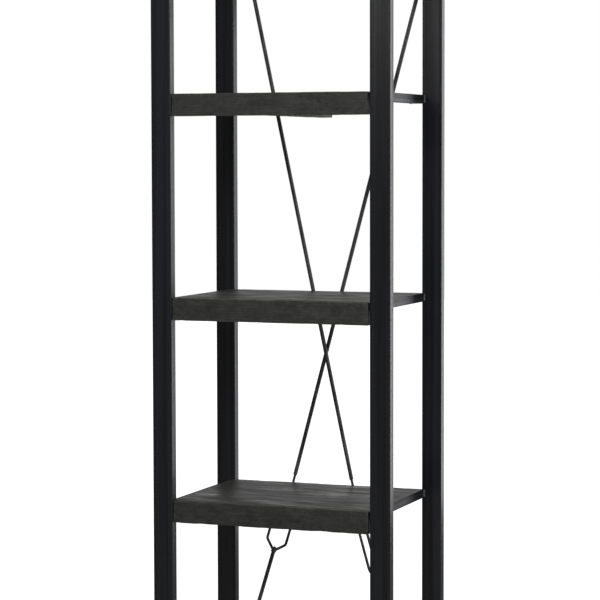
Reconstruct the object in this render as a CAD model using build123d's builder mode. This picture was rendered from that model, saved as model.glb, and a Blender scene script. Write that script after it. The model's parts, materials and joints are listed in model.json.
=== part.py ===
from build123d import *
import os

# Tall open bookcase: four rectangular tube posts, angle rails welded between
# them, wooden shelves dropped into the rails, and a pair of crossed brace rods
# with wire turnbuckles at the back.
# Origin: on the floor, midway between the posts. +X is the right-hand side as
# seen by someone facing the shelves, +Y is the back, +Z is up. Millimetres.

# Overall
width = 480.0
depth = 330.0
height = 1750.0

# Posts: rectangular tube
post_x = 40.0
post_y = 20.0
post_wall = 1.5
post_corner = 1.7
post_inner_x = width / 2 - post_x          # inner face of the right-hand posts
post_inner_y = depth / 2 - post_y          # face of a back post that looks forward

# Shelves
shelf_count = 5
shelf_pitch = 388.0
shelf_tops = [height - shelf_pitch * n for n in range(shelf_count)]
board_thickness = 14.0
board_gap = 0.3
lip_height = 43.0
lip_thickness = 18.0
lip_left = -199.0
lip_right = 196.0
lip_edge = 1.2
batten_width = 26.0
batten_height = 29.0

# Side rails: steel angle
rail_outer_x = 205.0
rail_leg = 20.0
rail_gauge = 3.0
rail_height = board_thickness + rail_gauge
rail_cope = 6.0                            # flat leg cut back behind the front post
weld_leg = 3.0

# Feet and end plugs
pad_radius = 9.5
pad_height = 6.0
plug_flange = 3.0
plug_length = 18.0
plug_clearance = 0.1
post_bottom = 10.0
stud_radius = 4.0
stud_length = 30.0
running_clearance = 0.05

# Fasteners
screw_radius = 2.0
pilot_radius = 2.05
shelf_screw_length = 13.0
shelf_screw_head = 1.4                      # low wafer head under the rail
shelf_screw_x = 194.0
shelf_screw_ys = (-95.0, 95.0)
batten_screw_length = 37.0
batten_screw_ys = (-90.0, 90.0)
batten_head_radius = 4.0
dowel_radius = 3.0
dowel_hole_radius = 3.05
dowel_length = 28.0
dowel_xs = (-150.0, -50.0, 50.0, 150.0)
bolt_radius = 3.0
bolt_hole_radius = 3.08
bolt_flats = 10.0
bolt_head = 4.0
bolt_tail = 0.6

# Brace rods
rod_radius = 4.0
rod_stud_radius = 2.5
eye_radius = 9.0
eye_thickness = 4.2
tongue_width = 9.0
tongue_length = 14.0
lug_x = 190.0                              # bolt centre, off the middle of the case
lug_thickness = 4.0
lug_y = depth / 2 - post_y / 2             # middle of the back posts

# Wire turnbuckles
loop_length = 120.0                        # from collar centre to collar centre
loop_half_width = 21.0
loop_shoulder = 18.2                       # collar centre to the bend, along the axis
loop_bend = 9.0
wire_radius = 2.8
collar_radius = 5.5
collar_length = 10.0
knee_clearance = 0.45                      # slack of the upper thread, which lets the brace bend
upper_overrun = 14.0                       # upper stud past its collar, inside the loop
lower_overrun = 6.5                        # lower stud, just past its collar

# Each brace: side of its upper lug, lug heights, and where its line bends at
# the turnbuckle's upper collar. Slack in the threads lets the lower half swing
# out a few degrees from the upper half.
front_brace = dict(
    name="front", side=-1, top_z=1714.6, knee_x=67.9, knee_z=515.0, foot_z=86.5,
    stud=83.0, turn=48.0)
back_brace = dict(
    name="back", side=1, top_z=1574.3, knee_x=-85.2, knee_z=557.4, foot_z=218.4,
    stud=43.4, turn=0.0)

os.makedirs("parts", exist_ok=True)


def save(piece, name):
    """Label a finished piece and write it as its own STEP file."""
    piece.part.label = name
    export_step(piece.part, f"parts/{name}.step")


# ---------------------------------------------------------------- posts
corners = {
    "front_left": (-1, -1),
    "front_right": (1, -1),
    "back_left": (-1, 1),
    "back_right": (1, 1),
}


def post_centre(sides):
    return (sides[0] * (width - post_x) / 2, sides[1] * (depth - post_y) / 2)


for corner, sides in corners.items():
    cx, cy = post_centre(sides)
    with BuildPart() as post:
        with BuildSketch(Plane((cx, cy, post_bottom))):
            RectangleRounded(post_x, post_y, post_corner)
            RectangleRounded(
                post_x - 2 * post_wall, post_y - 2 * post_wall, post_corner - post_wall,
                mode=Mode.SUBTRACT)
        extrude(amount=height - plug_flange - post_bottom)
    save(post, f"post_{corner}")

plug_x = post_x - 2 * post_wall - 2 * plug_clearance
plug_y = post_y - 2 * post_wall - 2 * plug_clearance

for corner, sides in corners.items():
    cx, cy = post_centre(sides)
    with BuildPart() as cap:
        with BuildSketch(Plane((cx, cy, height - plug_flange))):
            RectangleRounded(post_x, post_y, post_corner)
        extrude(amount=plug_flange)
        fillet(cap.faces().sort_by(Axis.Z)[-1].edges(), 1.2)
        with BuildSketch(Plane((cx, cy, height - plug_flange))):
            RectangleRounded(plug_x, plug_y, 0.8)
        extrude(amount=-plug_length)
    save(cap, f"post_cap_{corner}")

for corner, sides in corners.items():
    cx, cy = post_centre(sides)
    with BuildPart() as insert:
        with BuildSketch(Plane((cx, cy, post_bottom - plug_flange))):
            RectangleRounded(post_x, post_y, post_corner)
        extrude(amount=plug_flange)
        with BuildSketch(Plane((cx, cy, post_bottom))):
            RectangleRounded(plug_x, plug_y, 0.8)
        extrude(amount=plug_length)
        with Locations((cx, cy, post_bottom)):
            Hole(stud_radius + running_clearance)
    save(insert, f"foot_insert_{corner}")

for corner, sides in corners.items():
    cx, cy = post_centre(sides)
    with BuildPart() as foot:
        with BuildSketch(Plane((cx, cy, 0))):
            Circle(pad_radius)
        extrude(amount=pad_height)
        chamfer(foot.faces().sort_by(Axis.Z)[-1].edges(), 1.5)
        fillet(foot.faces().sort_by(Axis.Z)[0].edges(), 0.8)
        with BuildSketch(Plane((cx, cy, pad_height))):
            Circle(stud_radius)
        extrude(amount=stud_length)
        chamfer(foot.faces().sort_by(Axis.Z)[-1].edges(), 0.7)
    save(foot, f"levelling_foot_{corner}")

# ---------------------------------------------------------------- side rails
rail_length = 2 * post_inner_y
sides_named = {"left": -1, "right": 1}

for level, top in enumerate(shelf_tops, start=1):
    for side_name, side in sides_named.items():
        outer = side * rail_outer_x
        with BuildPart() as rail:
            with BuildSketch(Plane.XZ.offset(-post_inner_y)):
                with BuildLine():
                    Polyline(
                        (outer, top),
                        (outer, top - rail_height),
                        (outer - side * rail_leg, top - rail_height),
                        (outer - side * rail_leg, top - board_thickness),
                        (outer - side * rail_gauge, top - board_thickness),
                        (outer - side * rail_gauge, top),
                        close=True)
                make_face()
            extrude(amount=rail_length)
            heel = rail.edges().filter_by(Axis.Y).group_by(Axis.Z)[0]
            fillet(heel.sort_by(Axis.X)[-1 if side > 0 else 0], 1.5)
            flat_leg_middle = outer - side * (rail_gauge + rail_leg) / 2
            with Locations((
                    flat_leg_middle, rail_cope / 2 - post_inner_y,
                    top - board_thickness - rail_gauge / 2)):
                Box(rail_leg - rail_gauge, rail_cope, rail_gauge, mode=Mode.SUBTRACT)
            for y in shelf_screw_ys:
                with Locations((side * shelf_screw_x, y, top - board_thickness)):
                    Hole(pilot_radius, depth=rail_gauge)
        save(rail, f"side_rail_{side_name}_{level}")

with BuildPart() as welds:
    for top in shelf_tops:
        for side in sides_named.values():
            with BuildSketch(Plane.XY.offset(top - rail_height + 1.5)):
                for end in (-1, 1):
                    with BuildLine():
                        Polyline(
                            (side * rail_outer_x, end * post_inner_y),
                            (side * (rail_outer_x + weld_leg), end * post_inner_y),
                            (side * rail_outer_x, end * (post_inner_y - weld_leg)),
                            close=True)
                    make_face()
            extrude(amount=rail_height - 2.0)
save(welds, "rail_welds")

# ---------------------------------------------------------------- shelves
board_x = 2 * (rail_outer_x - rail_gauge - board_gap)
board_front = -(post_inner_y - board_gap)
board_back = post_inner_y - board_gap
board_y = board_back - board_front

for level, top in enumerate(shelf_tops, start=1):
    board_base = top - board_thickness
    with BuildPart() as board:
        with BuildSketch(Plane((0, 0, board_base))):
            Rectangle(board_x, board_y)
        extrude(amount=board_thickness)
        fillet(board.edges().group_by(Axis.Z)[-1].filter_by(Axis.X).sort_by(Axis.Y)[-1], 1.0)
        for side in sides_named.values():
            for y in shelf_screw_ys:
                with BuildSketch(Plane((side * shelf_screw_x, y, board_base))):
                    Circle(pilot_radius)
                extrude(amount=shelf_screw_length - rail_gauge + 0.5, mode=Mode.SUBTRACT)
        for y in batten_screw_ys:
            with BuildSketch(Plane((0, y, board_base))):
                Circle(pilot_radius)
            extrude(amount=batten_screw_length - batten_height + 0.5, mode=Mode.SUBTRACT)
        for x in dowel_xs:
            with BuildSketch(Plane((x, board_front, top - board_thickness / 2), z_dir=(0, 1, 0))):
                Circle(dowel_hole_radius)
            extrude(amount=dowel_length / 2 + 2.5, mode=Mode.SUBTRACT)
    save(board, f"shelf_board_{level}")

for level, top in enumerate(shelf_tops, start=1):
    with BuildPart() as lip:
        with BuildSketch(Plane.XZ.offset(-board_front)):
            with Locations(((lip_left + lip_right) / 2, top - lip_height / 2)):
                Rectangle(lip_right - lip_left, lip_height)
        extrude(amount=lip_thickness)
        front_face = lip.faces().sort_by(Axis.Y)[0]
        chamfer(front_face.edges(), lip_edge)
        for x in dowel_xs:
            with BuildSketch(Plane((x, board_front, top - board_thickness / 2), z_dir=(0, -1, 0))):
                Circle(dowel_hole_radius)
            extrude(amount=dowel_length / 2 + 0.5, mode=Mode.SUBTRACT)
    save(lip, f"shelf_lip_{level}")

for level, top in enumerate(shelf_tops, start=1):
    batten_base = top - board_thickness - batten_height
    with BuildPart() as batten:
        with BuildSketch(Plane((0, 0, batten_base))):
            Rectangle(batten_width, board_y)
        extrude(amount=batten_height)
        for y in batten_screw_ys:
            with Locations(Plane((0, y, batten_base), z_dir=(0, 0, -1))):
                CounterSinkHole(pilot_radius, batten_head_radius + 0.2, counter_sink_angle=90)
    save(batten, f"shelf_batten_{level}")

# ---------------------------------------------------------------- shelf fixings
with BuildPart() as shelf_screws:
    for top in shelf_tops:
        seat = top - rail_height
        for side in sides_named.values():
            for y in shelf_screw_ys:
                with BuildSketch(Plane((side * shelf_screw_x, y, seat))):
                    Circle(screw_radius)
                extrude(amount=shelf_screw_length)
                with BuildSketch(Plane((side * shelf_screw_x, y, seat))):
                    Circle(2 * screw_radius)
                extrude(amount=-shelf_screw_head, taper=30)
save(shelf_screws, "shelf_screws")

with BuildPart() as batten_screws:
    for top in shelf_tops:
        mouth = top - board_thickness - batten_height
        for y in batten_screw_ys:
            with BuildSketch(Plane((0, y, mouth))):
                Circle(screw_radius)
            extrude(amount=batten_screw_length)
            with BuildSketch(Plane((0, y, mouth + 0.4))):
                Circle(batten_head_radius - 0.3)
            with BuildSketch(Plane((0, y, mouth + 0.4 + batten_head_radius - 0.3 - screw_radius))):
                Circle(screw_radius)
            loft()
save(batten_screws, "batten_screws")

with BuildPart() as dowels:
    for top in shelf_tops:
        for x in dowel_xs:
            start = board_front - dowel_length / 2
            with BuildSketch(Plane((x, start, top - board_thickness / 2), z_dir=(0, 1, 0))):
                Circle(dowel_radius)
            extrude(amount=dowel_length)
save(dowels, "lip_dowels")

# ---------------------------------------------------------------- braces
def brace_y(brace):
    """The front brace bolts to the front of its lugs, the back brace behind them."""
    return lug_y + (-1 if brace["name"] == "front" else 1) * (lug_thickness + eye_thickness) / 2


def brace_points(brace):
    """Upper lug, knee at the turnbuckle's upper collar, and lower lug."""
    y = brace_y(brace)
    upper = Vector(brace["side"] * lug_x, y, brace["top_z"])
    knee = Vector(brace["knee_x"], y, brace["knee_z"])
    lower = Vector(-brace["side"] * lug_x, y, brace["foot_z"])
    return upper, knee, lower


def line_plane(start, end):
    """Plane across a line in XZ: its normal runs from start to end, its x stays in XZ."""
    run = (end - start).normalized()
    return Plane(start, x_dir=(-run.Z, 0, run.X), z_dir=run)


def eye_plane(start, end):
    """Plane through a rod's flattened end, facing the front, x along the rod."""
    run = (end - start).normalized()
    return Plane(start, x_dir=run, z_dir=(0, -1, 0))


for brace in (front_brace, back_brace):
    upper, knee, lower = brace_points(brace)
    reach_upper = (knee - upper).length
    reach_lower = (lower - knee).length - loop_length
    # half: lug, end of the bar, end of the stud
    halves = {
        "upper": (upper, reach_upper - brace["stud"], reach_upper + upper_overrun),
        "lower": (lower, reach_lower - collar_length / 2 - 1.2, reach_lower + lower_overrun),
    }
    for half, (start, bar_end, stud_end) in halves.items():
        flat = eye_plane(start, knee)
        along = line_plane(start, knee)
        with BuildPart() as rod:
            with BuildSketch(flat):
                Circle(eye_radius)
                with Locations((tongue_length / 2, 0)):
                    Rectangle(tongue_length, tongue_width)
            extrude(amount=eye_thickness / 2, both=True)
            with BuildSketch(along.offset(tongue_length - 2)):
                Circle(rod_radius)
            extrude(amount=bar_end - tongue_length + 2)
            with BuildSketch(along.offset(bar_end)):
                Circle(rod_stud_radius)
            extrude(amount=stud_end - bar_end)
            with BuildSketch(flat):
                Circle(bolt_hole_radius)
            extrude(amount=eye_thickness, both=True, mode=Mode.SUBTRACT)
        save(rod, f"brace_rod_{half}_{brace['name']}")

    axis_plane = line_plane(knee, lower)
    collar_planes = [axis_plane, axis_plane.offset(loop_length)]
    bores = [rod_stud_radius + knee_clearance, rod_stud_radius + running_clearance]
    with BuildPart() as collars:
        for collar_plane in collar_planes:
            with BuildSketch(collar_plane.offset(-collar_length / 2)):
                Circle(collar_radius)
            extrude(amount=collar_length)
        fillet(collars.edges().filter_by(GeomType.CIRCLE), 1.0)
        for collar_plane, bore in zip(collar_planes, bores):
            with BuildSketch(collar_plane):
                Circle(bore)
            extrude(amount=collar_length, both=True, mode=Mode.SUBTRACT)
    save(collars, f"turnbuckle_{brace['name']}_collars")

    across = axis_plane.x_dir.rotate(Axis(knee, axis_plane.z_dir), brace["turn"])
    loop_plane = Plane(knee, x_dir=across, z_dir=across.cross(axis_plane.z_dir))
    with BuildPart() as loop:
        for side in (-1, 1):
            with BuildLine(loop_plane) as wire:
                FilletPolyline(
                    (side * 3.4, 1.0),
                    (side * loop_half_width, loop_shoulder),
                    (side * loop_half_width, loop_length - loop_shoulder),
                    (side * 3.4, loop_length - 1.0),
                    radius=loop_bend)
            with BuildSketch(Plane(wire.line @ 0, z_dir=wire.line % 0)):
                Circle(wire_radius)
            sweep(path=wire.line)
        for collar_plane in collar_planes:
            with BuildSketch(collar_plane.offset(-collar_length / 2)):
                Circle(collar_radius)
            extrude(amount=collar_length, mode=Mode.SUBTRACT)
    save(loop, f"turnbuckle_{brace['name']}_loop")

# ---------------------------------------------------------------- brace lugs
lug_spots = []                             # side, height, brace
for brace in (front_brace, back_brace):
    lug_spots.append((brace["side"], brace["top_z"], brace))
    lug_spots.append((-brace["side"], brace["foot_z"], brace))

with BuildPart() as lugs:
    for side, z, brace in lug_spots:
        with BuildSketch(Plane((side * lug_x, lug_y, z), x_dir=(1, 0, 0), z_dir=(0, -1, 0))):
            Circle(eye_radius)
            with Locations((side * (post_inner_x - lug_x) / 2, 0)):
                Rectangle(post_inner_x - lug_x, 2 * eye_radius)
            Circle(bolt_hole_radius, mode=Mode.SUBTRACT)
        extrude(amount=lug_thickness / 2, both=True)
save(lugs, "brace_lugs")


def bolt_seats(brace):
    """Y of the face under the bolt head, and of the face under the nut."""
    near, far = lug_y - lug_thickness / 2, lug_y + lug_thickness / 2
    if brace["name"] == "front":
        return near - eye_thickness, far
    return near, far + eye_thickness


with BuildPart() as bolts:
    for side, z, brace in lug_spots:
        head_seat, nut_seat = bolt_seats(brace)
        with BuildSketch(Plane((side * lug_x, head_seat, z), z_dir=(0, -1, 0))):
            RegularPolygon(bolt_flats / 2, 6, major_radius=False)
        extrude(amount=bolt_head)
        with BuildSketch(Plane((side * lug_x, head_seat, z), z_dir=(0, 1, 0))):
            Circle(bolt_radius)
        extrude(amount=nut_seat - head_seat + bolt_head + bolt_tail)
save(bolts, "lug_bolts")

with BuildPart() as nuts:
    for side, z, brace in lug_spots:
        with BuildSketch(Plane((side * lug_x, bolt_seats(brace)[1], z), z_dir=(0, 1, 0))):
            RegularPolygon(bolt_flats / 2, 6, major_radius=False)
            Circle(bolt_hole_radius, mode=Mode.SUBTRACT)
        extrude(amount=bolt_head)
save(nuts, "lug_nuts")
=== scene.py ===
import json
import math

import bmesh
import bpy
from mathutils import Euler, Matrix, Vector, noise


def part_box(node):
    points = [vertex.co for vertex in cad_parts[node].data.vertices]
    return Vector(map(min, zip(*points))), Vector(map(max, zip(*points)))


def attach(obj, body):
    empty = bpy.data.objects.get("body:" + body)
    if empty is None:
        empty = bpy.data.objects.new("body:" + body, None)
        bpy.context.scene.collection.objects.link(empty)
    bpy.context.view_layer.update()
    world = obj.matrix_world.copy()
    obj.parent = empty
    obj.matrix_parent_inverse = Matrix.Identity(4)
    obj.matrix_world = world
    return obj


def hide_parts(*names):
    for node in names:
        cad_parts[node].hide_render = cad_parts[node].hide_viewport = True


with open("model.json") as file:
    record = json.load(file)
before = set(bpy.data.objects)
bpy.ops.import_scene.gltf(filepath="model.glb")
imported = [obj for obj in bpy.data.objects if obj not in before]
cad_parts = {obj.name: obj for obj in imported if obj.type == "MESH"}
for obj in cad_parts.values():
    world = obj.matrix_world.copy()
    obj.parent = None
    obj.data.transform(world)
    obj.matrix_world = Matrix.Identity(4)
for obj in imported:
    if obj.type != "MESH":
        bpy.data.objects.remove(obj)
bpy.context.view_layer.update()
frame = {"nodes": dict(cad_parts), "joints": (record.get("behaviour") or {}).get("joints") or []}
cadNodes = frame["nodes"]
joints = {joint["name"]: joint for joint in frame["joints"]}
corners = ("front_left", "front_right", "back_left", "back_right")
levels = (1, 2, 3, 4, 5)


# Camera

camera = {
    "place": (1.58059, -4.08818, 1.24746),
    "tiltDeg": 86.703,
    "rollDeg": 0.122,
    "panDeg": 21.143,
    "lens": 135.92,
    "shiftY": -0.02607,
}

cameraData = bpy.data.cameras.new("camera")
cameraData.lens = camera["lens"]
cameraData.sensor_width = 36.0
cameraData.shift_y = camera["shiftY"]
cameraData.clip_end = 200.0
cameraObject = bpy.data.objects.new("camera", cameraData)
cameraObject.location = camera["place"]
cameraObject.rotation_euler = Euler(
    [math.radians(camera[key]) for key in ("tiltDeg", "rollDeg", "panDeg")])
bpy.context.scene.collection.objects.link(cameraObject)
bpy.context.scene.camera = cameraObject
bpy.context.scene.view_settings.view_transform = "Standard"
print("camera ready")


# Small helpers for shader trees

def newMaterial(name, baseColor, roughness, **sockets):
    material = bpy.data.materials.new(name)
    material.use_nodes = True
    shader = material.node_tree.nodes["Principled BSDF"]
    shader.inputs["Base Color"].default_value = (*baseColor, 1.0)
    shader.inputs["Roughness"].default_value = roughness
    for socketName, value in sockets.items():
        shader.inputs[socketName.replace("_", " ")].default_value = value
    return material, shader


def addNode(material, kind, values=None, **settings):
    node = material.node_tree.nodes.new(kind)
    for key, value in settings.items():
        setattr(node, key, value)
    for key, value in (values or {}).items():
        node.inputs[key].default_value = value
    return node


def link(material, source, target):
    material.node_tree.links.new(source, target)


def stretchedNoise(material, stretch, detail=4.0, roughness=0.55, distortion=0.0, turn=(0, 0, 0)):
    # noise on Object coordinates, stretched by a Mapping node
    place = addNode(material, "ShaderNodeTexCoord")
    mapping = addNode(material, "ShaderNodeMapping", {
        "Scale": stretch, "Rotation": [math.radians(angle) for angle in turn]})
    link(material, place.outputs["Object"], mapping.inputs["Vector"])
    texture = addNode(material, "ShaderNodeTexNoise", {
        "Scale": 1.0, "Detail": detail, "Roughness": roughness, "Distortion": distortion})
    link(material, mapping.outputs["Vector"], texture.inputs["Vector"])
    return texture.outputs["Fac"]


def multiply(material, first, second):
    node = addNode(material, "ShaderNodeMath", operation="MULTIPLY")
    link(material, first, node.inputs[0])
    link(material, second, node.inputs[1])
    return node.outputs["Value"]


def ramp(material, source, stops):
    node = addNode(material, "ShaderNodeValToRGB")
    elements = node.color_ramp.elements
    while len(elements) < len(stops):
        elements.new(0.5)
    for element, (position, color) in zip(elements, stops):
        element.position = position
        element.color = (*color, 1.0)
    link(material, source, node.inputs["Fac"])
    return node.outputs["Color"]


def remap(material, source, low, high, outLow, outHigh):
    node = addNode(material, "ShaderNodeMapRange", {
        "From Min": low, "From Max": high, "To Min": outLow, "To Max": outHigh})
    link(material, source, node.inputs["Value"])
    return node.outputs["Result"]


def mixColor(material, factor, first, second, blend="MIX"):
    node = addNode(material, "ShaderNodeMix", data_type="RGBA", blend_type=blend)
    sockets = node.inputs[0], node.inputs[6], node.inputs[7]     # factor, colour A, colour B
    for source, target in zip((factor, first, second), sockets):
        if isinstance(source, (int, float)):
            target.default_value = source
        elif isinstance(source, tuple):
            target.default_value = (*source, 1.0)
        else:
            link(material, source, target)
    return node.outputs[2]


def addBump(material, shader, layers):
    # layers: height source, distance in metres, strength
    normal = None
    for height, distance, strength in layers:
        bump = addNode(material, "ShaderNodeBump", {"Distance": distance, "Strength": strength})
        link(material, height, bump.inputs["Height"])
        if normal is not None:
            link(material, normal, bump.inputs["Normal"])
        normal = bump.outputs["Normal"]
    link(material, normal, shader.inputs["Normal"])


# Materials

powder = {
    "color": (0.0078, 0.0083, 0.0102),
    "roughness": 0.35,
    "specular": 0.34,
    # the two factors below scale the base colour for bands of painted sheen
    "darkSheenStreak": 0.6,
    "paleSheenStreak": 2.8,
    "dust": (0.09, 0.09, 0.092),
}

def makePowderCoat(name, color, roughness, lengthAxis, specular=powder["specular"]):
    # satin coat over drawn tube: long soft bands of painted sheen in the base colour, fine orange
    # peel, a few specks
    material, shader = newMaterial(name, color, roughness)
    shader.inputs["Specular IOR Level"].default_value = specular
    stretch = [0.01 if axis == lengthAxis else 1.0 for axis in "XYZ"]
    drawLines = stretchedNoise(material, tuple(300.0 * value for value in stretch), detail=3.0)
    sheenBands = stretchedNoise(material, tuple(88.0 * value for value in stretch), detail=2.0)
    crown = stretchedNoise(material, tuple(17.0 * value for value in stretch), detail=0.0)
    peel = stretchedNoise(material, (900.0, 900.0, 900.0), detail=2.0)
    speckle = stretchedNoise(material, (2600.0, 2600.0, 2600.0), detail=1.0)
    # painted sheen: lighter and darker bands in the base colour stand in for bands of reflection
    # along the tube
    toneAndSheen = mixColor(material, remap(material, sheenBands, 0.4, 0.64, 0.0, 1.0),
                    tuple(value * powder["darkSheenStreak"] for value in color),
                    tuple(value * powder["paleSheenStreak"] for value in color))
    toneAndSheen = mixColor(material, remap(material, drawLines, 0.42, 0.7, 0.0, 0.6), toneAndSheen,
                    tuple(value * 1.9 for value in color))
    dust = remap(material, speckle, 0.66, 0.8, 0.0, 0.25)
    link(material, mixColor(material, dust, toneAndSheen, powder["dust"]), shader.inputs["Base Color"])
    link(material, remap(material, sheenBands, 0.3, 0.7, roughness + 0.07, roughness - 0.09),
         shader.inputs["Roughness"])
    addBump(material, shader, [
        (peel, 0.00003, 0.4), (drawLines, 0.00004, 0.3), (sheenBands, 0.0006, 0.4), (crown, 0.004, 0.6)])
    return material


powderPost = makePowderCoat("powderPost", powder["color"], powder["roughness"], "Z")
powderRail = makePowderCoat("powderRail", (0.0115, 0.0122, 0.0145), 0.42, "Y", 0.18)
bracePaint = makePowderCoat("bracePaint", (0.034, 0.0345, 0.035), 0.4, "Z")

# weld beads: same black coat but glossier, with a base colour many times lighter, a painted
# highlight for the bright spot at each weld
weldHighlightPaint = makePowderCoat("weldHighlightPaint", (0.12, 0.122, 0.126), 0.2, "Z", 1.0)

# the darkest and palest colours of each look are painted shade and painted sheen on the grain
# figure; the palest also lightens worn edges
timber = {
    "shelf": {"grain": "X", "shadeColor": (0.012, 0.0119, 0.011), "mid": (0.03, 0.0297, 0.0275),
              "paleWearAndSheen": (0.24, 0.237, 0.22), "sheenStreaks": 0.85, "figure": (8.5, 36.0, 36.0),
              "mottle": 0.4, "scratches": 0.1,
              "roughness": 0.42, "specular": 0.38},
    "lip": {"grain": "X", "shadeColor": (0.024, 0.0237, 0.0215), "mid": (0.0455, 0.045, 0.041),
            "paleWearAndSheen": (0.12, 0.118, 0.106), "sheenStreaks": 0.15, "figure": (13.0, 105.0, 105.0),
            "mottle": 0.66, "scratches": 0.12,
            "roughness": 0.6, "specular": 0.28},
    "batten": {"grain": "Y", "shadeColor": (0.017, 0.0165, 0.015), "mid": (0.036, 0.0355, 0.032),
               "paleWearAndSheen": (0.08, 0.078, 0.07), "sheenStreaks": 0.3, "figure": (13.0, 105.0, 105.0),
               "mottle": 0.5, "scratches": 0.2,
               "roughness": 0.6, "specular": 0.28},
}

def makeTimberFinish(name, look):
    material, shader = newMaterial(name, look["mid"], look["roughness"])
    shader.inputs["Specular IOR Level"].default_value = look["specular"]
    turn = (0, 0, 90) if look["grain"] == "Y" else (0, 0, 0)
    fibres = stretchedNoise(material, (11.0, 480.0, 480.0), 5.0, 0.6, turn=turn)
    sheenStreaks = stretchedNoise(material, look["figure"], 6.0, 0.66, 0.5, turn)
    patches = stretchedNoise(material, (7.0, 15.0, 15.0), detail=2.0, turn=turn)
    mottle = stretchedNoise(material, (46.0, 70.0, 70.0), 6.0, 0.66, 0.8, turn)
    scratches = stretchedNoise(material, (620.0, 60.0, 34.0), detail=4.0, turn=(0, 24, turn[2]))
    pores = stretchedNoise(material, (70.0, 1400.0, 1400.0), detail=2.0, turn=turn)
    wear = addNode(material, "ShaderNodeAttribute", attribute_name="wear").outputs["Fac"]

    cloud = remap(material, mottle, 0.28, 0.74,
                  1.0 - 0.62 * look["mottle"], 1.0 + 0.7 * look["mottle"])
    fibreTone = remap(material, fibres, 0.3, 0.72, 0.76, 1.24)
    hatch = remap(material, scratches, 0.36, 0.72,
                  1.0 - 0.4 * look["scratches"], 1.0 + 0.9 * look["scratches"])
    shade = multiply(material, multiply(material, cloud, fibreTone), hatch)
    grey = addNode(material, "ShaderNodeCombineColor")
    for channel in ("Red", "Green", "Blue"):
        link(material, shade, grey.inputs[channel])
    stainShadeAndSheen = mixColor(material, 1.0, look["mid"], grey.outputs["Color"], "MULTIPLY")

    # painted shade: the hollows of the grain figure darken the base colour, for the unlit patches
    # beside the glossy bands
    shadeHollows = remap(material, sheenStreaks, 0.49, 0.38, 0.0, look["sheenStreaks"])
    stainShadeAndSheen = mixColor(material, shadeHollows, stainShadeAndSheen, look["shadeColor"])
    # painted sheen: the crests of the grain figure, broken into patches, lighten the base colour, a
    # painted highlight of the glossy bands at grazing view
    sheenCrests = multiply(material, remap(material, sheenStreaks, 0.52, 0.65, 0.0, look["sheenStreaks"]),
                     remap(material, patches, 0.4, 0.6, 0.1, 1.0))
    stainShadeAndSheen = mixColor(material, sheenCrests, stainShadeAndSheen, look["paleWearAndSheen"])
    rubbed = multiply(material, wear, remap(material, mottle, 0.4, 0.66, 0.05, 0.6))
    stainShadeAndSheen = mixColor(material, rubbed, stainShadeAndSheen, look["paleWearAndSheen"])
    poreMask = remap(material, pores, 0.6, 0.7, 0.0, 0.5)
    stainShadeAndSheen = mixColor(material, poreMask, stainShadeAndSheen, (0.006, 0.0055, 0.005))
    link(material, stainShadeAndSheen, shader.inputs["Base Color"])
    sheen = remap(material, sheenStreaks, 0.35, 0.68, look["roughness"] + 0.14, look["roughness"] - 0.16)
    link(material, sheen, shader.inputs["Roughness"])
    addBump(material, shader, [
        (patches, 0.002, 0.3), (sheenStreaks, 0.0006, 0.25 + 0.5 * look["sheenStreaks"]),
        (mottle, 0.0005, 0.5 * look["mottle"]), (fibres, 0.0003, 0.4),
        (scratches, 0.00012, 0.6), (pores, 0.00012, 0.4)])
    return material


shelfTimber = makeTimberFinish("shelfTimber", timber["shelf"])
lipTimber = makeTimberFinish("lipTimber", timber["lip"])
battenTimber = makeTimberFinish("battenTimber", timber["batten"])

dowelTimber, dowelShader = newMaterial("dowelTimber", (0.4, 0.26, 0.13), 0.7)
dowelGrain = stretchedNoise(dowelTimber, (700.0, 30.0, 700.0))
dowelTones = [(0.3, (0.3, 0.19, 0.09)), (0.7, (0.5, 0.35, 0.19))]
link(dowelTimber, ramp(dowelTimber, dowelGrain, dowelTones), dowelShader.inputs["Base Color"])

zincSteel, zincShader = newMaterial("zincSteel", (0.42, 0.42, 0.43), 0.32, Metallic=1.0)
zincSpangle = stretchedNoise(zincSteel, (500.0, 500.0, 500.0))
link(zincSteel, remap(zincSteel, zincSpangle, 0.3, 0.7, 0.24, 0.45), zincShader.inputs["Roughness"])

blackOxide, oxideShader = newMaterial("blackOxide", (0.02, 0.02, 0.021), 0.38, Metallic=0.6)
oxideCloud = stretchedNoise(blackOxide, (420.0, 420.0, 420.0), detail=5.0)
oxideTones = [(0.35, (0.014, 0.014, 0.015)), (0.8, (0.05, 0.048, 0.046))]
link(blackOxide, remap(blackOxide, oxideCloud, 0.3, 0.7, 0.28, 0.5),
     oxideShader.inputs["Roughness"])
link(blackOxide, ramp(blackOxide, oxideCloud, oxideTones), oxideShader.inputs["Base Color"])

def makeMoulded(name, color, roughness):
    material, shader = newMaterial(name, color, roughness)
    spark = stretchedNoise(material, (1800.0, 1800.0, 1800.0), detail=2.0)
    cloud = stretchedNoise(material, (60.0, 60.0, 60.0), detail=3.0)
    link(material, mixColor(material, remap(material, cloud, 0.3, 0.7, 0.0, 1.0), color,
                            tuple(value * 1.5 for value in color)), shader.inputs["Base Color"])
    link(material, remap(material, cloud, 0.3, 0.7, roughness - 0.06, roughness + 0.08),
         shader.inputs["Roughness"])
    addBump(material, shader, [(spark, 0.00012, 0.6)])
    return material


plugPlastic = makeMoulded("plugPlastic", (0.012, 0.012, 0.012), 0.55)
footPlastic = makeMoulded("footPlastic", (0.014, 0.014, 0.014), 0.5)
print("materials ready")


# CAD nodes that keep their own shape take a finished material

def finish(nodeName, material):
    data = cadNodes[nodeName].data
    data.materials.clear()
    data.materials.append(material)


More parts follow.
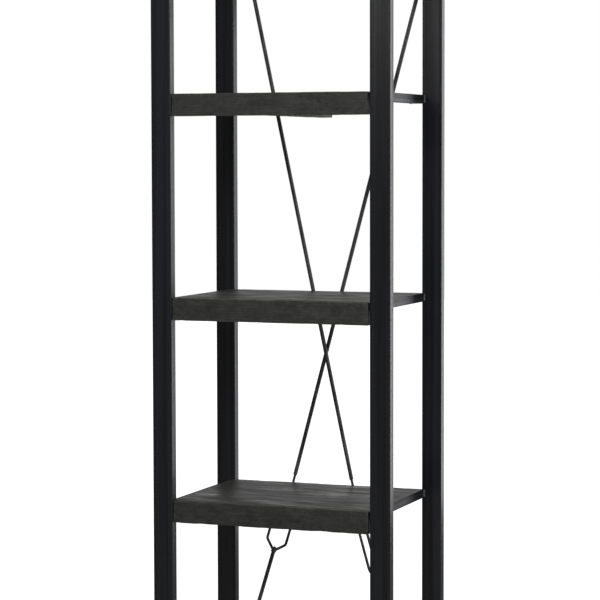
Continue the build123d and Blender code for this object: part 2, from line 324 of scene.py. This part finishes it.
for corner in corners:
    finish("post_" + corner, powderPost)
    finish("post_cap_" + corner, plugPlastic)
    finish("foot_insert_" + corner, plugPlastic)
for level in levels:
    for side in ("left", "right"):
        finish(f"side_rail_{side}_{level}", powderRail)
for nodeName, material in (
        ("lip_dowels", dowelTimber), ("brace_lugs", powderPost),
        ("brace_rod_upper_front", bracePaint), ("brace_rod_upper_back", bracePaint),
        ("brace_rod_lower_front", bracePaint), ("brace_rod_lower_back", bracePaint)):
    finish(nodeName, material)
print("CAD nodes finished")


# Helpers for new pieces

def makePiece(name, mesh, material, body, replaced=(), smoothDeg=35.0):
    bmesh.ops.recalc_face_normals(mesh, faces=mesh.faces[:])
    data = bpy.data.meshes.new(name)
    mesh.to_mesh(data)
    mesh.free()
    data.materials.append(material)
    piece = bpy.data.objects.new(name, data)
    bpy.context.scene.collection.objects.link(piece)
    data.shade_smooth()
    data.set_sharp_from_angle(angle=math.radians(smoothDeg))
    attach(piece, body)
    if replaced:
        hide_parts(*replaced)


def axisPlace(point, axis):
    # matrix that puts local Z along an axis, at a point
    return Matrix.Translation(point) @ Vector(axis).to_track_quat("Z", "X").to_matrix().to_4x4()


def addLathe(mesh, profile, place, steps=24):
    # profile: radius and height pairs, from pole to pole, turned about local Z
    rim = [mesh.verts.new((radius, 0.0, height)) for radius, height in profile]
    line = [mesh.edges.new(pair) for pair in zip(rim, rim[1:])]
    before = set(mesh.verts) - set(rim)
    bmesh.ops.spin(mesh, geom=rim + line, cent=(0, 0, 0), axis=(0, 0, 1), angle=math.tau,
                   steps=steps, use_merge=True)
    made = [vert for vert in mesh.verts if vert not in before]
    bmesh.ops.remove_doubles(mesh, verts=made, dist=1e-7)
    made = [vert for vert in mesh.verts if vert not in before]
    bmesh.ops.transform(mesh, matrix=place, verts=made)


def threadProfile(radius, depth, pitch, start, end):
    # ridged profile of a thread, closed by a small cone at each end
    profile = [(0.0, start), (radius - depth, start)]
    height = start
    while height + pitch <= end:
        profile += [(radius - depth, height + pitch * 0.25), (radius, height + pitch * 0.5),
                    (radius - depth, height + pitch)]
        height += pitch
    return profile + [(radius - depth, end), (radius - depth * 2, end + depth), (0.0, end + depth)]


# Shelf boards, lips and battens: sawn timber with a little relief and softened edges

timberShape = {
    # edge rounding, spacing of the cuts, depth of the relief, depth of dents on the edges
    "board": {"grainAxis": 0, "edge": 0.0009, "cell": (0.0045, 0.0028, 0.0075),
              "relief": 0.00045, "nibble": 0.0006},
    "lip": {"grainAxis": 0, "edge": 0.0009, "cell": (0.0036, 0.0060, 0.0024),
            "relief": 0.0004, "nibble": 0.0009},
    "batten": {"grainAxis": 1, "edge": 0.0009, "cell": (0.0090, 0.0090, 0.0100),
               "relief": 0.00025, "nibble": 0.0004},
}

def cutAcross(mesh, axis, low, high, cell):
    # parallel cuts along one axis, one cell apart
    count = max(1, round((high[axis] - low[axis]) / cell))
    normal = [0.0, 0.0, 0.0]
    normal[axis] = 1.0
    for step in range(1, count):
        point = [0.0, 0.0, 0.0]
        point[axis] = low[axis] + (high[axis] - low[axis]) * step / count
        bmesh.ops.bisect_plane(mesh, geom=mesh.verts[:] + mesh.edges[:] + mesh.faces[:],
                               plane_co=point, plane_no=normal, dist=1e-6)


def grainNoise(spot, density, grainAxis, stretch):
    # noise at a density per metre, drawn out along the grain
    place = spot * density
    place[grainAxis] *= stretch
    return noise.noise(place)


def makeTimber(name, nodeName, material, shape, seed):
    low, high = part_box(nodeName)
    mesh = bmesh.new()
    bmesh.ops.create_cube(mesh, size=1.0)
    bmesh.ops.scale(mesh, vec=high - low, verts=mesh.verts[:])
    bmesh.ops.translate(mesh, vec=(low + high) / 2, verts=mesh.verts[:])
    bmesh.ops.bevel(mesh, geom=mesh.edges[:], offset=shape["edge"], affect="EDGES", segments=2,
                    profile=0.5, material=-1)
    for axis in range(3):
        cutAcross(mesh, axis, low, high, shape["cell"][axis])
    mesh.normal_update()
    wearLayer = mesh.verts.layers.float.new("wear")
    shift = Vector((seed * 3.7, seed * 1.9, seed * 2.3))
    moves = []
    for vert in mesh.verts:
        spot = vert.co + shift
        relief = (0.5 + 0.5 * grainNoise(spot, 55.0, shape["grainAxis"], 0.16)
                  + 0.35 * grainNoise(spot, 210.0, shape["grainAxis"], 0.09))
        move = vert.normal * (-shape["relief"] * max(0.0, min(1.4, relief)))
        gaps = [min(vert.co[axis] - low[axis], high[axis] - vert.co[axis]) for axis in range(3)]
        if sum(1 for gap in gaps if gap < shape["edge"] * 1.05) >= 2:
            vert[wearLayer] = 1.0     # worn arris: shallow, uneven dents
            wear = max(0.0, noise.noise(spot * 38.0) - 0.05)
            move += vert.normal * (-shape["nibble"] * min(1.0, wear * 2.2))
        moves.append(move)
    for vert, move in zip(mesh.verts, moves):
        vert.co += move
    makePiece(name, mesh, material, "case", [nodeName], smoothDeg=50.0)


for level in levels:
    makeTimber(f"shelfBoard{level}", f"shelf_board_{level}", shelfTimber,
               timberShape["board"], level)
    makeTimber(f"shelfLip{level}", f"shelf_lip_{level}", lipTimber,
               timberShape["lip"], level + 10)
    makeTimber(f"shelfBatten{level}", f"shelf_batten_{level}", battenTimber,
               timberShape["batten"], level + 20)
print("timber ready")


# Weld beads where the side rails meet the posts, and round the brace lugs

weld = {
    "radius": 0.0029,
    "ripple": 0.0005,
    "pitch": 0.0017,
    "set": 0.0006,
    "fromHeel": 0.0015,
    "lugRadius": 0.0022,
    "lugReach": 0.0085,
    "lugSet": 0.0008,
}
rodEye = 0.009     # centre of a rod's eye, in from the end of its box

def addWeldBead(mesh, start, end, radius):
    # one rippled bead from start to end
    run = end - start
    count = max(3, round(run.length / weld["pitch"]))
    profile = [(0.0, 0.0)]
    for step in range(count):
        for part, trough in ((0.1, weld["ripple"]), (0.5, 0.0), (0.9, weld["ripple"])):
            fade = min(1.0, 0.55 + 0.6 * min(step + part, count - step - part))
            profile.append(((radius - trough) * fade, run.length * (step + part) / count))
    profile.append((0.0, run.length))
    addLathe(mesh, profile, axisPlace(start, run), steps=12)


welds = bmesh.new()
for level in levels:
    for side in ("left", "right"):
        low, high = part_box(f"side_rail_{side}_{level}")
        outer = high.x - weld["set"] if side == "right" else low.x + weld["set"]
        for end in (low.y + weld["set"], high.y - weld["set"]):
            addWeldBead(welds, Vector((outer, end, low.z + weld["fromHeel"])),
                        Vector((outer, end, high.z - weld["set"])), weld["radius"])
makePiece("weldBeads", welds, weldHighlightPaint, "case", ["rail_welds"], smoothDeg=60.0)

lugLow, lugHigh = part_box("brace_lugs")
bolts = []
for brace, upperSide in (("front", -1), ("back", 1)):
    bolts.append((brace, upperSide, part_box(f"brace_rod_upper_{brace}")[1].z - rodEye))
    bolts.append((brace, -upperSide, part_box(f"brace_rod_lower_{brace}")[0].z + rodEye))
lugWelds = bmesh.new()
for brace, side, height in bolts:
    edge = lugHigh.x - weld["lugSet"] if side > 0 else lugLow.x + weld["lugSet"]
    for face in (lugLow.y, lugHigh.y):
        addWeldBead(lugWelds, Vector((edge, face, height - weld["lugReach"])),
                    Vector((edge, face, height + weld["lugReach"])), weld["lugRadius"])
makePiece("lugWelds", lugWelds, weldHighlightPaint, "case", smoothDeg=60.0)
print("welds ready")


# Turnbuckles: bent wires flowing into turned barrel collars

turnbuckle = {
    "length": 0.120,
    "halfWidth": 0.021,
    "shoulder": 0.0182,
    "bend": 0.009,
    "wire": 0.0028,
    "collar": 0.0055,
    "collarLength": 0.010,
    "bore": 0.0027,
    "wireStart": (0.0034, 0.001),     # off the collar's axis, in from its centre
    "turnDeg": {"front": 48.0, "back": 0.0},
}

def pullRing(mesh, ring, move):
    edges = [item for item in ring if isinstance(item, bmesh.types.BMEdge)]
    made = bmesh.ops.extrude_edge_only(mesh, edges=edges)
    verts = [item for item in made["geom"] if isinstance(item, bmesh.types.BMVert)]
    bmesh.ops.translate(mesh, vec=move, verts=verts)
    return [*verts, *{edge for vert in verts for edge in vert.link_edges
                      if all(end in verts for end in edge.verts)}]


def addWire(mesh, route):
    # straight runs pulled from a ring, joined by spun bends
    tip, heading = route[0], (route[1] - route[0]).normalized()
    verts = bmesh.ops.create_circle(mesh, segments=16, radius=turnbuckle["wire"],
                                    matrix=axisPlace(tip, heading))["verts"]
    ring = [*verts, *{edge for vert in verts for edge in vert.link_edges}]
    bmesh.ops.contextual_create(mesh, geom=ring)
    for corner, after in zip(route[1:], route[2:]):
        outward = (after - corner).normalized()
        turn = heading.angle(outward)
        reach = turnbuckle["bend"] * math.tan(turn / 2)
        ring = pullRing(mesh, ring, corner - heading * reach - tip)
        tip = corner - heading * reach
        inside = (outward - heading * heading.dot(outward)).normalized()
        bend = bmesh.ops.spin(mesh, geom=ring, cent=tip + inside * turnbuckle["bend"],
                              axis=heading.cross(outward).normalized(), angle=turn, steps=8)
        ring = [item for item in bend["geom_last"] if not isinstance(item, bmesh.types.BMFace)]
        tip, heading = corner + outward * reach, outward
    ring = pullRing(mesh, ring, route[-1] - tip)
    bmesh.ops.contextual_create(mesh, geom=ring)


def makeTurnbuckle(brace):
    joint = joints[f"turnbuckle_{brace}_turn"]
    top, run = Vector(joint["pos_m"]), Vector(joint["axis"]).normalized()
    across = Vector((-run.z, 0.0, run.x))
    across = Matrix.Rotation(math.radians(turnbuckle["turnDeg"][brace]), 3, run) @ across
    body = f"turnbuckle_{brace}"
    half, shoulder, length = (turnbuckle[key] for key in ("halfWidth", "shoulder", "length"))
    place = Matrix.Translation(top) @ Matrix((across, run.cross(across), run)).transposed().to_4x4()
    startX, startZ = turnbuckle["wireStart"]
    wires = bmesh.new()
    for side in (-1, 1):
        addWire(wires, [Vector((side * startX, 0.0, startZ)), Vector((side * half, 0.0, shoulder)),
                        Vector((side * half, 0.0, length - shoulder)),
                        Vector((side * startX, 0.0, length - startZ))])
    bmesh.ops.transform(wires, matrix=place, verts=wires.verts[:])
    makePiece(f"turnbuckleWires_{brace}", wires, bracePaint, body,
              [f"turnbuckle_{brace}_loop"], smoothDeg=60.0)

    collars = bmesh.new()
    radius, tall, bore = (turnbuckle[key] for key in ("collar", "collarLength", "bore"))
    for distance in (0.0, length):
        rim = [(bore, 0.5), (radius * 0.72, 0.5), (radius * 0.9, 0.46), (radius, 0.36),
               (radius, 0.2), (radius * 0.97, 0.16)]
        profile = [(size, -height * tall) for size, height in rim]
        profile += [(size, height * tall) for size, height in reversed(rim)] + profile[:1]
        addLathe(collars, profile, axisPlace(top + run * distance, run), steps=32)
    makePiece(f"turnbuckleCollars_{brace}", collars, bracePaint, body,
              [f"turnbuckle_{brace}_collars"], smoothDeg=40.0)


for brace in ("front", "back"):
    makeTurnbuckle(brace)


# Threads on the studs that the turnbuckles draw together

thread = {
    "radius": 0.00268,
    "depth": 0.0003,
    "pitch": 0.0008,
    "upperLength": {"front": 0.083, "back": 0.0434},
    "upperPast": 0.014,
    "lowerBefore": 0.0062,
    "lowerPast": 0.0065,
}

def addThread(mesh, start, run, length):
    addLathe(mesh, threadProfile(thread["radius"], thread["depth"], thread["pitch"], 0.0,
                                 length - thread["depth"]), axisPlace(start, run), steps=18)


threads = bmesh.new()
for brace, upperSide in (("front", -1), ("back", 1)):
    joint = joints[f"turnbuckle_{brace}_turn"]
    knee, run = Vector(joint["pos_m"]), Vector(joint["axis"]).normalized()
    low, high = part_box(f"brace_rod_upper_{brace}")
    eyeX = high.x - rodEye if upperSide > 0 else low.x + rodEye
    down = (knee - Vector((eyeX, knee.y, high.z - rodEye))).normalized()
    upperLength = thread["upperLength"][brace]
    addThread(threads, knee - down * upperLength, down, upperLength + thread["upperPast"])
    addThread(threads, knee + run * (turnbuckle["length"] + thread["lowerBefore"]), -run,
              thread["lowerBefore"] + thread["lowerPast"])
makePiece("studThreads", threads, blackOxide, "case")
print("turnbuckles ready")


# Bolts and nuts at the brace lugs

bolt = {
    "flats": 0.010,
    "head": 0.004,
    "radius": 0.003,
    "depth": 0.0004,
    "pitch": 0.001,
    "tail": 0.0006,
    "lug": 0.004,          # thickness of a lug
    "eye": 0.0042,         # thickness of a rod's eye
    "lugPlane": 0.155,
    "offMiddle": 0.190,
}

def addHex(mesh, place, tall, domed):
    # hexagon with a chamfered outer face, base on local Z 0
    corner = bolt["flats"] / math.sqrt(3)
    made = bmesh.ops.create_cone(mesh, cap_ends=True, segments=6, radius1=corner, radius2=corner,
                                 depth=tall * 0.86)["verts"]
    bmesh.ops.translate(mesh, vec=(0, 0, tall * 0.43), verts=made)
    top = max((face for vert in made for face in vert.link_faces),
              key=lambda face: face.calc_center_median().z)
    rings = bmesh.ops.inset_region(mesh, faces=[top], thickness=0.0006)["faces"]
    bmesh.ops.translate(mesh, vec=(0, 0, tall * 0.14), verts=list(top.verts))
    if domed:
        rings += bmesh.ops.inset_region(mesh, faces=[top], thickness=0.0016)["faces"]
        bmesh.ops.translate(mesh, vec=(0, 0, -0.0003), verts=list(top.verts))
    everything = {vert for face in [*rings, top] for vert in face.verts} | set(made)
    bmesh.ops.transform(mesh, matrix=place, verts=list(everything))


boltMesh, nutMesh = bmesh.new(), bmesh.new()
for brace, side, height in bolts:
    near, far = bolt["lugPlane"] - bolt["lug"] / 2, bolt["lugPlane"] + bolt["lug"] / 2
    if brace == "front":
        near -= bolt["eye"]
    else:
        far += bolt["eye"]
    boltX = side * bolt["offMiddle"]
    spot = Vector((boltX, near, height))
    addHex(boltMesh, axisPlace(spot, (0, -1, 0)), bolt["head"], True)
    shankEnd = far - near + bolt["head"] + bolt["tail"] - bolt["depth"]
    shank = threadProfile(bolt["radius"], bolt["depth"], bolt["pitch"], 0.0, shankEnd)
    addLathe(boltMesh, shank, axisPlace(spot, (0, 1, 0)))
    addHex(nutMesh, axisPlace(Vector((boltX, far, height)), (0, 1, 0)), bolt["head"], False)
makePiece("lugBolts", boltMesh, blackOxide, "case", ["lug_bolts"])
makePiece("lugNuts", nutMesh, blackOxide, "case", ["lug_nuts"])
print("bolts ready")


# Screws under the shelves

screw = {"radius": 0.004, "head": 0.0014, "x": 0.194, "y": 0.095, "battenY": 0.09}

def addWaferHead(mesh, place):
    # low domed head with a driver recess
    radius, head = screw["radius"], screw["head"]
    profile = [(0.0, -0.0003), (radius - 0.0004, -0.0003), (radius, 0.0), (radius, head * 0.35),
               (radius * 0.88, head * 0.8), (radius * 0.6, head), (0.0014, head),
               (0.0007, head * 0.2), (0.0, head * 0.15)]
    addLathe(mesh, profile, place, steps=20)


screwHeads = bmesh.new()
for level in levels:
    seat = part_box(f"side_rail_right_{level}")[0].z
    for x in (-screw["x"], screw["x"]):
        for y in (-screw["y"], screw["y"]):
            addWaferHead(screwHeads, axisPlace(Vector((x, y, seat)), (0, 0, -1)))
makePiece("shelfScrewHeads", screwHeads, zincSteel, "case", ["shelf_screws"])

# countersunk head, set below the face of the batten
sunkHead = [(0.0, -0.0022), (0.002, -0.0021), (0.0037, -0.0006), (0.0037, -0.0004),
            (0.0016, -0.0004), (0.0009, -0.0013), (0.0, -0.0015)]
battenHeads = bmesh.new()
for level in levels:
    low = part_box(f"shelf_batten_{level}")[0]
    for y in (-screw["battenY"], screw["battenY"]):
        addLathe(battenHeads, sunkHead, axisPlace(Vector((0.0, y, low.z)), (0, 0, -1)), steps=20)
makePiece("battenScrewHeads", battenHeads, zincSteel, "case", ["batten_screws"])
print("screws ready")


# Levelling feet: ribbed pads on threaded studs

foot = {
    "pad": 0.0095,
    "padHeight": 0.006,
    "ribs": 24,
    "ribDepth": 0.0004,
    "stud": 0.004,
    "studTop": 0.036,
    "pitch": 0.00125,
    "depth": 0.00045,
    "sunk": 0.0005,        # the thread starts inside the pad and stops short of its top
}

for corner in corners:
    low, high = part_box("levelling_foot_" + corner)
    centre = Vector(((low.x + high.x) / 2, (low.y + high.y) / 2, low.z))
    footMesh = bmesh.new()
    pad = foot["pad"]
    padProfile = [(0.0, 0.0), (pad - 0.0012, 0.0), (pad - 0.0004, 0.0003), (pad, 0.0011),
                  (pad, 0.0042), (pad - 0.0004, 0.0050), (pad - 0.0014, 0.0058),
                  (0.0055, foot["padHeight"]), (0.0, foot["padHeight"])]
    addLathe(footMesh, padProfile, Matrix.Translation(centre), steps=foot["ribs"] * 4)
    for vert in footMesh.verts:
        out = vert.co - centre
        height, out.z = out.z, 0.0
        if 0.0010 < height < 0.0045 and out.length > pad * 0.97:
            turn = math.atan2(out.y, out.x) * foot["ribs"]
            vert.co -= out.normalized() * (foot["ribDepth"] if math.cos(turn) < -0.2 else 0.0)
    makePiece("footPad_" + corner, footMesh, footPlastic, f"foot_{corner}",
              ["levelling_foot_" + corner])
    studMesh = bmesh.new()
    stud = threadProfile(foot["stud"], foot["depth"], foot["pitch"],
                         foot["padHeight"] - foot["sunk"], foot["studTop"] - foot["sunk"])
    addLathe(studMesh, stud, Matrix.Translation(centre), steps=28)
    makePiece("footStud_" + corner, studMesh, zincSteel, f"foot_{corner}")
print("feet ready")


# Studio

studio = {
    "floorRadius": 15.0,
    "floorColor": (0.66, 0.66, 0.66),
    "glowNear": 0.22,
    "whiteFrom": 0.5,
    "whiteTo": 2.1,
    "frontLevel": 0.13,
    "backLevel": 0.45,
    "belowLevel": 0.3,
}

floorMesh = bmesh.new()
bmesh.ops.create_circle(floorMesh, cap_ends=True, segments=96, radius=studio["floorRadius"])
floorData = bpy.data.meshes.new("floor")
floorMesh.to_mesh(floorData)
floorMesh.free()
floor = bpy.data.objects.new("floor", floorData)
bpy.context.scene.collection.objects.link(floor)
floorMaterial, floorShader = newMaterial("paleFloor", studio["floorColor"], 0.9)
floorShader.inputs["Emission Color"].default_value = (1.0, 1.0, 1.0, 1.0)
floorPlace = addNode(floorMaterial, "ShaderNodeTexCoord")
floorDistance = addNode(floorMaterial, "ShaderNodeVectorMath", operation="LENGTH")
link(floorMaterial, floorPlace.outputs["Object"], floorDistance.inputs[0])
floorFade = remap(floorMaterial, floorDistance.outputs["Value"],
                  studio["whiteFrom"], studio["whiteTo"], studio["glowNear"], 1.0)
floorRay = addNode(floorMaterial, "ShaderNodeLightPath")
floorGlow = addNode(floorMaterial, "ShaderNodeMath", operation="MULTIPLY")
link(floorMaterial, floorFade, floorGlow.inputs[0])
link(floorMaterial, floorRay.outputs["Is Camera Ray"], floorGlow.inputs[1])
link(floorMaterial, floorGlow.outputs["Value"], floorShader.inputs["Emission Strength"])
floorData.materials.append(floorMaterial)

world = bpy.data.worlds.new("studio")
bpy.context.scene.world = world
world.use_nodes = True
world.node_tree.nodes.clear()
direction = addNode(world, "ShaderNodeTexCoord")
directionParts = addNode(world, "ShaderNodeSeparateXYZ")
link(world, direction.outputs["Generated"], directionParts.inputs["Vector"])
depthLevel = remap(world, directionParts.outputs["Y"], -0.4, 0.6,
                   studio["frontLevel"], studio["backLevel"])
heightLevel = remap(world, directionParts.outputs["Z"], -0.06, 0.03, studio["belowLevel"], 1.0)
roomLevel = addNode(world, "ShaderNodeMath", operation="MULTIPLY")
link(world, depthLevel, roomLevel.inputs[0])
link(world, heightLevel, roomLevel.inputs[1])
roomLight = addNode(world, "ShaderNodeBackground", {"Color": (1.0, 1.0, 1.0, 1.0)})
link(world, roomLevel.outputs["Value"], roomLight.inputs["Strength"])
backdrop = addNode(world, "ShaderNodeBackground", {"Color": (1.0, 1.0, 1.0, 1.0), "Strength": 1.0})
rayKind = addNode(world, "ShaderNodeLightPath")
choose = addNode(world, "ShaderNodeMixShader")
link(world, rayKind.outputs["Is Camera Ray"], choose.inputs["Fac"])
link(world, roomLight.outputs["Background"], choose.inputs[1])
link(world, backdrop.outputs["Background"], choose.inputs[2])
worldOut = addNode(world, "ShaderNodeOutputWorld")
link(world, choose.outputs["Shader"], worldOut.inputs["Surface"])

lamps = {
    # place, aim, width, height, watts
    "frontKey": ((0.9, -3.6, 3.3), (0.0, 0.0, 0.9), 2.2, 1.2, 45.0),
    "rightFill": ((2.9, -1.3, 1.6), (0.0, 0.0, 1.3), 0.6, 1.4, 26.0),
    "backPanel": ((0.19, 0.8, 0.95), (-0.2, -0.1, 0.95), 0.22, 1.2, 1.5),
    "sidePanel": ((0.5, 0.8, 1.22), (0.22, 0.0, 1.22), 0.2, 1.56, 2.7),
    "frontStrip": ((-0.12, -1.2, 1.85), (0.22, -0.15, 1.65), 0.08, 0.7, 2.0),
}
for lampName, (place, aim, wide, tall, watts) in lamps.items():
    lampData = bpy.data.lights.new(lampName, "AREA")
    lampData.shape = "RECTANGLE"
    lampData.size = wide
    lampData.size_y = tall
    lampData.energy = watts
    lamp = bpy.data.objects.new(lampName, lampData)
    lamp.location = place
    lamp.rotation_euler = (Vector(aim) - Vector(place)).to_track_quat("-Z", "Y").to_euler()
    lamp.visible_camera = False
    bpy.context.scene.collection.objects.link(lamp)
print("studio ready")
